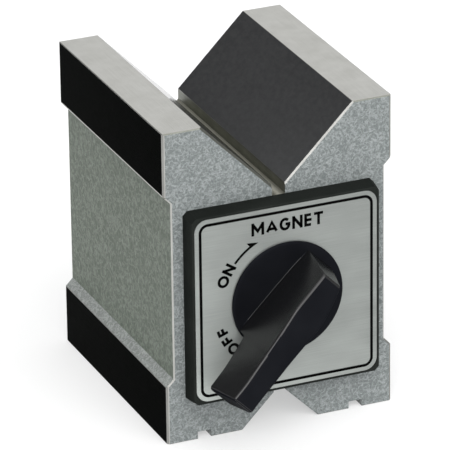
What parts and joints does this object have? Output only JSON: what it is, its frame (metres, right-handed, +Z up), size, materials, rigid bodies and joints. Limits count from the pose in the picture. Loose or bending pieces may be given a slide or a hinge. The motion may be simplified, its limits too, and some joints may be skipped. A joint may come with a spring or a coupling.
{
  "type": "magnetic v-block",
  "caption": "Steel V-block with a permanent-magnet rotor that a front lever turns on and off, with ground bands, lands and slotted feet.",
  "frame": {"origin": "centre of the bounding box's base, on the surface that the feet stand on", "axes": "+Z up, +Y from the lever towards the back along the V, +X to the right seen from the lever's side"},
  "size_m": [0.07, 0.1016, 0.0954],
  "materials": {
    "painted_steel": "silver-grey hammertone, with ground faces left bare",
    "bezel_plastic": "satin black moulding",
    "knob_plastic": "satin to glossy black moulding",
    "plate_aluminium": "brushed, with a printed black border",
    "cover_aluminium": "turned",
    "brass": "dull",
    "bronze": "sintered",
    "bright_steel": "bright",
    "soft_iron": "turned",
    "magnet": "sintered, ground",
    "seal_rubber": "matt",
    "washer_plastic": "waxy white"
  },
  "bodies": {
    "block": {"bezel_screw_1": "bright_steel", "bezel_screw_2": "bright_steel", "bezel_screw_3": "bright_steel", "bezel_screw_4": "bright_steel", "front_bearing_plate": "brass", "front_bezel": "bezel_plastic", "front_bush": "bronze", "front_gasket": "seal_rubber", "front_plate_screw_1": "bright_steel", "front_plate_screw_2": "bright_steel", "front_plate_screw_3": "bright_steel", "front_plate_screw_4": "bright_steel", "front_thrust_washer": "washer_plastic", "left_pole": "painted_steel", "lower_spacer": "brass", "nameplate": "plate_aluminium", "rear_bush": "bronze", "rear_cover": "cover_aluminium", "rear_cover_screw_1": "bright_steel", "rear_cover_screw_2": "bright_steel", "rear_cover_screw_3": "bright_steel", "rear_cover_screw_4": "bright_steel", "rear_gasket": "seal_rubber", "rear_thrust_washer": "washer_plastic", "right_pole": "painted_steel", "shaft_seal": "seal_rubber", "stop_pin": "bright_steel", "upper_spacer": "brass"},
    "switch": {"front_drive_pin": "bright_steel", "front_rotor_disc": "brass", "front_rotor_screw_1": "bright_steel", "front_rotor_screw_2": "bright_steel", "front_rotor_screw_3": "bright_steel", "front_rotor_screw_4": "bright_steel", "grub_screw": "bright_steel", "knob": "knob_plastic", "lower_shoe": "soft_iron", "rear_drive_pin": "bright_steel", "rear_rotor_disc": "brass", "rear_rotor_screw_1": "bright_steel", "rear_rotor_screw_2": "bright_steel", "rear_rotor_screw_3": "bright_steel", "rear_rotor_screw_4": "bright_steel", "rotor_magnet": "magnet", "shaft": "bright_steel", "upper_shoe": "soft_iron"}
  },
  "joints": [
    {"name": "knob_turn", "type": "hinge", "parent": "block", "child": "switch", "pos_m": [0, -0.0266, 0.0419], "axis": [0, 1, 0], "range_deg": [0, 90]}
  ]
}
